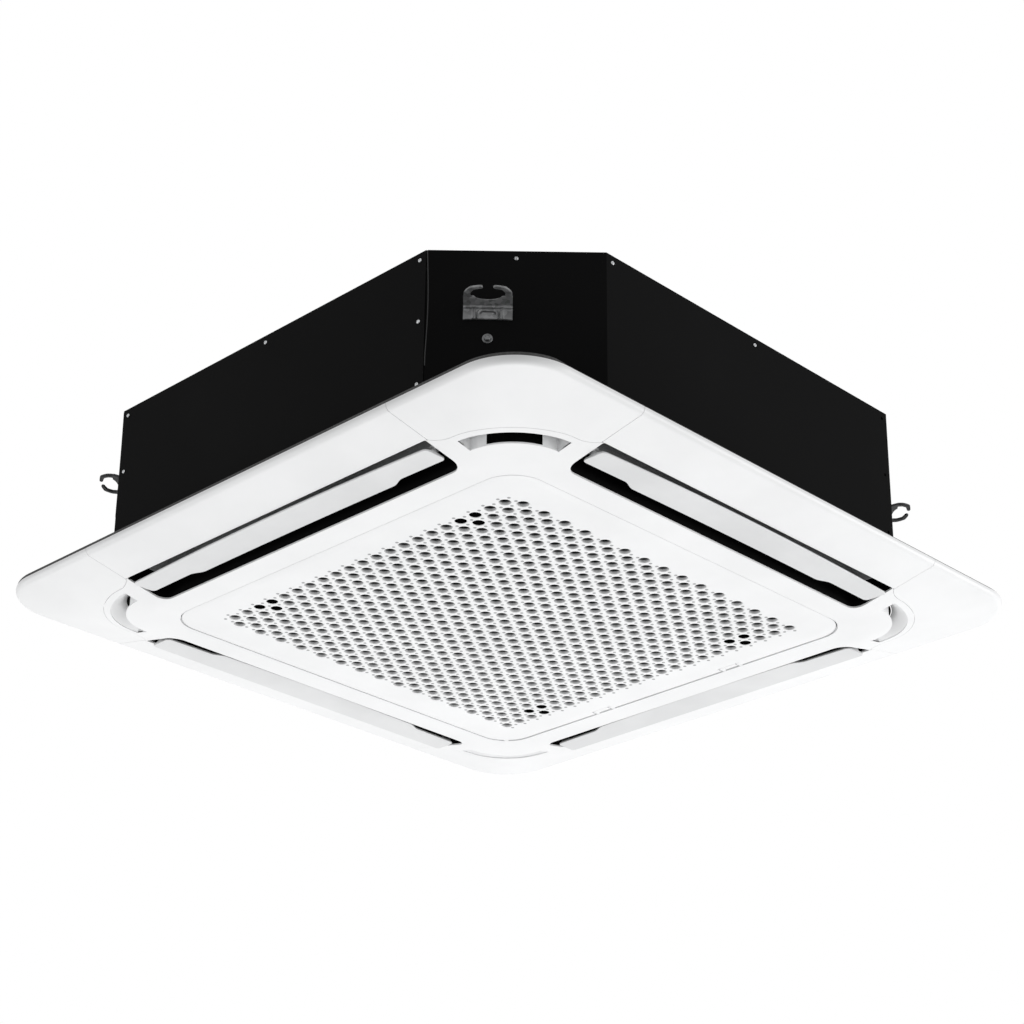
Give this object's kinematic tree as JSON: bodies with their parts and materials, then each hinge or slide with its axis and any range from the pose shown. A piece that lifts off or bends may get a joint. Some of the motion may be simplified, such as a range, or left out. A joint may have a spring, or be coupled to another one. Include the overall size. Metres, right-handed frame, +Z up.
{
  "type": "ceiling cassette air conditioner",
  "caption": "Four-way ceiling cassette: slim black octagonal casing on hanger lugs above a white square panel with louvers and a round-holed intake grille that hinges down.",
  "frame": {"origin": "centre of the four hanger lugs, on the plane of their upper faces", "axes": "+Z up towards the ceiling slab, -Y the latch side of the grille, +Y the grille's hinge side, +X to the right"},
  "size_m": [0.95, 0.95, 0.248],
  "materials": {
    "panel_white": "satin moulded white plastic",
    "louver_white": "satin moulded plastic, slightly greyer",
    "trim_plastic": "plain moulded plastic",
    "stud_black": "black plastic",
    "filter_net": "fine woven net",
    "casing_black": "semi-matt black painted steel sheet",
    "galvanized": "galvanized steel sheet",
    "zinc_fasteners": "zinc plated steel",
    "foam": "closed-cell foam",
    "fin_aluminium": "thin close-set fins",
    "copper": "drawn copper tube",
    "nut_brass": "machined brass",
    "damper_rubber": "black rubber",
    "board_green": "coated circuit board"
  },
  "bodies": {
    "unit": {"panel_frame": "panel_white", "corner_cover_front_right": "panel_white", "corner_cover_back_right": "panel_white", "corner_cover_back_left": "panel_white", "corner_cover_front_left": "panel_white", "louver_bushes": "trim_plastic", "drain_pump": "trim_plastic", "float_stem": "trim_plastic", "drain_port": "trim_plastic", "terminal_block": "trim_plastic", "bell_mouth": "trim_plastic", "cable_gland": "stud_black", "side_panel_front": "casing_black", "side_panel_right": "casing_black", "side_panel_back": "casing_black", "side_panel_left": "casing_black", "top_plate": "casing_black", "pipe_plate": "casing_black", "hanger_bracket_front_right": "galvanized", "hanger_bracket_back_right": "galvanized", "hanger_bracket_back_left": "galvanized", "hanger_bracket_front_left": "galvanized", "coil_end_plates": "galvanized", "control_box": "galvanized", "control_box_lid": "galvanized", "bracket_bolts": "zinc_fasteners", "casing_screws": "zinc_fasteners", "panel_bolts": "zinc_fasteners", "grille_hinge_pins": "zinc_fasteners", "louver_motor_front": "zinc_fasteners", "louver_motor_right": "zinc_fasteners", "louver_motor_back": "zinc_fasteners", "louver_motor_left": "zinc_fasteners", "fan_motor": "zinc_fasteners", "insulation_liner": "foam", "drain_pan": "foam", "outlet_gaskets": "foam", "evaporator_coil": "fin_aluminium", "coil_bends": "copper", "coil_header": "copper", "gas_pipe": "copper", "liquid_pipe": "copper", "flare_nuts": "nut_brass", "motor_mounts": "damper_rubber", "circuit_board": "board_green"},
    "grille": {"intake_grille": "panel_white", "grille_studs": "stud_black", "filter_frame": "trim_plastic", "filter_mesh": "filter_net"},
    "latch_left": {"grille_latch_left": "trim_plastic"},
    "latch_right": {"grille_latch_right": "trim_plastic"},
    "fan": {"turbo_fan": "trim_plastic", "motor_shaft": "zinc_fasteners", "fan_nut": "zinc_fasteners"},
    "float": {"float_ball": "trim_plastic"},
    "vane_front": {"louver_front": "louver_white"},
    "vane_right": {"louver_right": "louver_white"},
    "vane_back": {"louver_back": "louver_white"},
    "vane_left": {"louver_left": "louver_white"}
  },
  "joints": [
    {"name": "louver_front_hinge", "type": "hinge", "parent": "unit", "child": "vane_front", "pos_m": [0, -0.3892, -0.1616], "axis": [1, 0, 0], "range_deg": [-22, 35]},
    {"name": "louver_right_hinge", "type": "hinge", "parent": "unit", "child": "vane_right", "pos_m": [0.3892, 0, -0.1616], "axis": [0, 1, 0], "range_deg": [-22, 35]},
    {"name": "louver_back_hinge", "type": "hinge", "parent": "unit", "child": "vane_back", "pos_m": [0, 0.3892, -0.1616], "axis": [-1, 0, 0], "range_deg": [-22, 35]},
    {"name": "louver_left_hinge", "type": "hinge", "parent": "unit", "child": "vane_left", "pos_m": [-0.3892, 0, -0.1616], "axis": [0, -1, 0], "range_deg": [-22, 35]},
    {"name": "grille_hinge", "type": "hinge", "parent": "unit", "child": "grille", "pos_m": [0, 0.306, -0.1738], "axis": [1, 0, 0], "range_deg": [0, 45]},
    {"name": "latch_left_slide", "type": "slide", "parent": "grille", "child": "latch_left", "axis": [0, 1, 0], "range_m": [0, 0.006], "stiffness_N_per_m": 300},
    {"name": "latch_right_slide", "type": "slide", "parent": "grille", "child": "latch_right", "axis": [0, 1, 0], "range_m": [0, 0.006], "stiffness_N_per_m": 300},
    {"name": "fan_spin", "type": "hinge", "parent": "unit", "child": "fan", "pos_m": [0, 0, 0], "axis": [0, 0, 1], "continuous": true},
    {"name": "float_slide", "type": "slide", "parent": "unit", "child": "float", "axis": [0, 0, 1], "range_m": [0, 0.01]}
  ]
}
